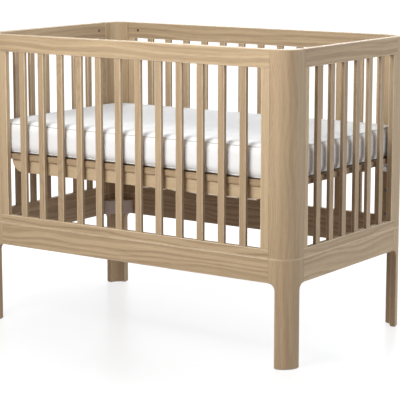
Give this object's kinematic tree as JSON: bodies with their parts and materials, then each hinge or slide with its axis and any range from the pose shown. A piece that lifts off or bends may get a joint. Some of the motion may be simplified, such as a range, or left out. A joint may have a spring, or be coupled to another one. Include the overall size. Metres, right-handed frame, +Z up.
{
  "type": "baby crib",
  "caption": "Oak crib with round corner posts and legs, slatted sides, base boards, a mattress deck bolted at a set height, and a loose mattress.",
  "frame": {"origin": "on the floor, under the middle of the crib", "axes": "+X along the crib, from its left end to its right end; +Y from its front to its back; +Z up"},
  "size_m": [1.256, 0.752, 1.004],
  "materials": {
    "oak": "light natural oak, matt clear lacquer",
    "deck_ply": "light plywood, matt, unveneered edges",
    "grey_plastic": "moulded grey plastic with a fine texture",
    "mattress_cover": "white quilt-free woven cover, piped edge"
  },
  "bodies": {
    "crib_frame": {"post_front_left": "oak", "leg_front_left": "oak", "corner_block_front_left": "grey_plastic", "post_front_right": "oak", "leg_front_right": "oak", "corner_block_front_right": "grey_plastic", "post_back_right": "oak", "leg_back_right": "oak", "corner_block_back_right": "grey_plastic", "post_back_left": "oak", "leg_back_left": "oak", "corner_block_back_left": "grey_plastic", "panel_frame_front": "oak", "base_board_front": "oak", "slat_front_01": "oak", "slat_front_02": "oak", "slat_front_03": "oak", "slat_front_04": "oak", "slat_front_05": "oak", "slat_front_06": "oak", "slat_front_07": "oak", "slat_front_08": "oak", "slat_front_09": "oak", "slat_front_10": "oak", "slat_front_11": "oak", "slat_front_12": "oak", "panel_frame_right": "oak", "base_board_right": "oak", "slat_right_01": "oak", "slat_right_02": "oak", "slat_right_03": "oak", "slat_right_04": "oak", "slat_right_05": "oak", "slat_right_06": "oak", "panel_frame_back": "oak", "base_board_back": "oak", "slat_back_01": "oak", "slat_back_02": "oak", "slat_back_03": "oak", "slat_back_04": "oak", "slat_back_05": "oak", "slat_back_06": "oak", "slat_back_07": "oak", "slat_back_08": "oak", "slat_back_09": "oak", "slat_back_10": "oak", "slat_back_11": "oak", "slat_back_12": "oak", "panel_frame_left": "oak", "base_board_left": "oak", "slat_left_01": "oak", "slat_left_02": "oak", "slat_left_03": "oak", "slat_left_04": "oak", "slat_left_05": "oak", "slat_left_06": "oak"},
    "deck": {"mattress_deck": "deck_ply", "deck_apron_front": "oak", "deck_apron_back": "oak"},
    "mattress": {"mattress": "mattress_cover"}
  },
  "joints": [
    {"name": "deck_height", "type": "slide", "parent": "crib_frame", "child": "deck", "axis": [0, 0, 1], "range_m": [-0.165, 0]},
    {"name": "mattress_lift", "type": "slide", "parent": "deck", "child": "mattress", "axis": [0, 0, 1], "range_m": [0, 0.45]}
  ]
}
